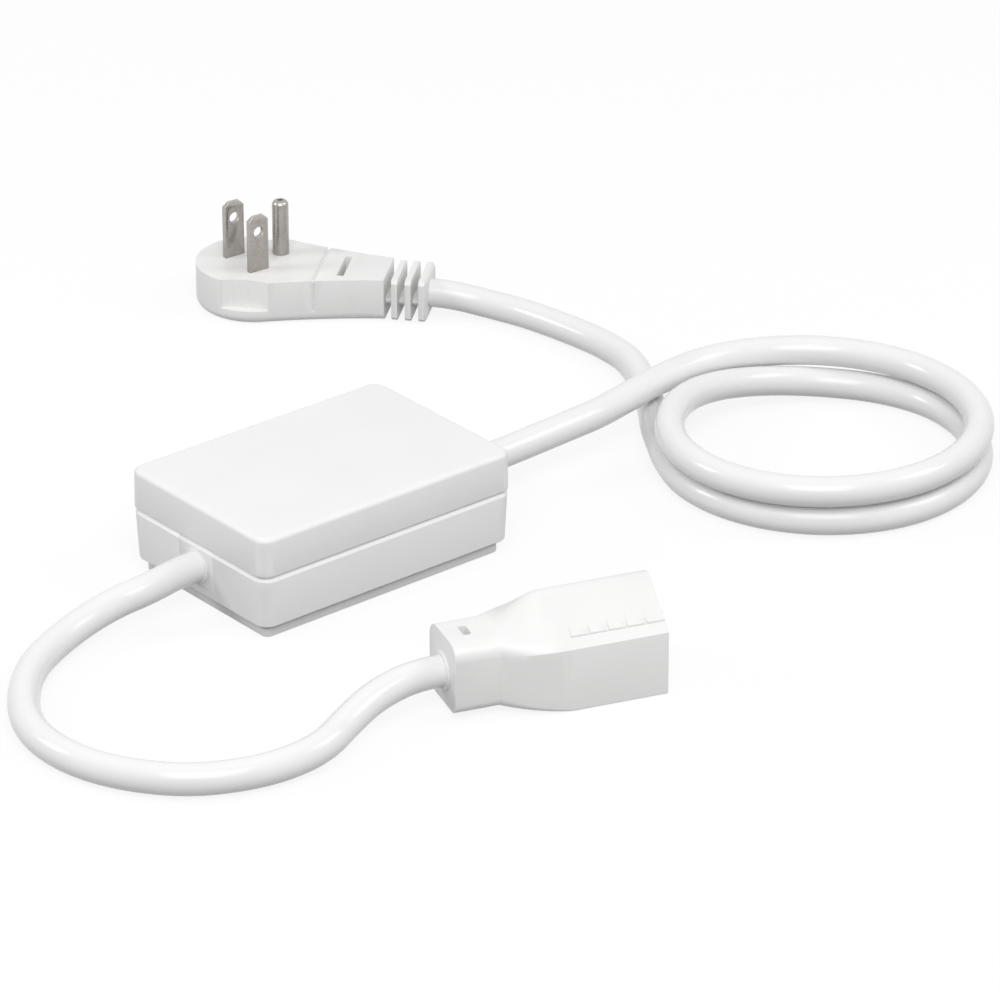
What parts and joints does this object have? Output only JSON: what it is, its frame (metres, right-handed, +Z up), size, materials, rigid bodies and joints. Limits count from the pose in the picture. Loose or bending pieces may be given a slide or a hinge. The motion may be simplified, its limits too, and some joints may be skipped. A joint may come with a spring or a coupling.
{
  "type": "lighting control module",
  "caption": "White rectangular lighting control module with a coiled line cord to a flat grounded plug and a short output cord to a grounded receptacle.",
  "frame": {"origin": "middle of the base plate's underside, on the plane that the box, plug, receptacle and cords rest on", "axes": "+X along the box's long side towards the line cord, +Y across it towards the side where the plug lies, +Z up"},
  "size_m": [0.3071, 0.2706, 0.0297],
  "materials": {
    "shell_white": "satin",
    "base_white": "satin",
    "bushing_white": "satin",
    "plug_white": "satin",
    "cord_white": "soft gloss",
    "prong_nickel": "nickel plated",
    "contact_brass": "bright",
    "board_green": "solder mask",
    "terminal_green": "moulded",
    "wire_black": "smooth",
    "wire_green": "smooth",
    "wire_white": "smooth",
    "relay_black": "moulded",
    "relay_case": "moulded",
    "bobbin_white": "moulded",
    "magnet_iron": "plated",
    "lamination_steel": "laminated",
    "copper": "enamelled",
    "winding_tape": "taped",
    "capacitor_can": "sleeved",
    "film_yellow": "potted",
    "varistor_blue": "dipped",
    "fuse_glass": "clear with metal caps",
    "shield_tin": "tinned"
  },
  "bodies": {
    "module": {"upper_shell": "shell_white", "lower_shell": "shell_white", "base_plate": "base_white", "line_cord_bushing": "bushing_white", "output_cord_bushing": "bushing_white", "circuit_board": "board_green", "line_terminal": "terminal_green", "output_terminal": "terminal_green", "line_wire_hot": "wire_black", "line_wire_ground": "wire_green", "line_wire_neutral": "wire_white", "output_wire_hot": "wire_black", "output_wire_ground": "wire_green", "output_wire_neutral": "wire_white", "relay_base": "relay_black", "relay_cover": "relay_case", "relay_yoke": "magnet_iron", "relay_core": "magnet_iron", "relay_bobbin": "bobbin_white", "relay_winding": "copper", "relay_fixed_contact": "contact_brass", "supply_core": "lamination_steel", "supply_winding": "winding_tape", "storage_capacitor": "capacitor_can", "filter_capacitor": "film_yellow", "surge_varistor": "varistor_blue", "fuse": "fuse_glass", "receiver_board": "board_green", "receiver_shield": "shield_tin", "plug_body": "plug_white", "plug_blade_line": "prong_nickel", "plug_blade_neutral": "prong_nickel", "plug_ground_pin": "prong_nickel", "connector_body": "plug_white", "connector_contact_line": "contact_brass", "connector_contact_neutral": "contact_brass", "connector_contact_ground": "contact_brass", "line_cord_lead": "cord_white", "line_cord_coil": "cord_white", "line_cord_tail": "cord_white", "output_cord": "cord_white"},
    "armature": {"relay_armature": "magnet_iron", "relay_spring_contact": "contact_brass"}
  },
  "joints": [
    {"name": "relay_armature_hinge", "type": "hinge", "parent": "module", "child": "armature", "pos_m": [-0.0122, 0.0148, 0.0206], "axis": [0, 1, 0], "range_deg": [0, 3], "stiffness_Nm_per_rad": 0.004, "springref_deg": -28.65}
  ]
}
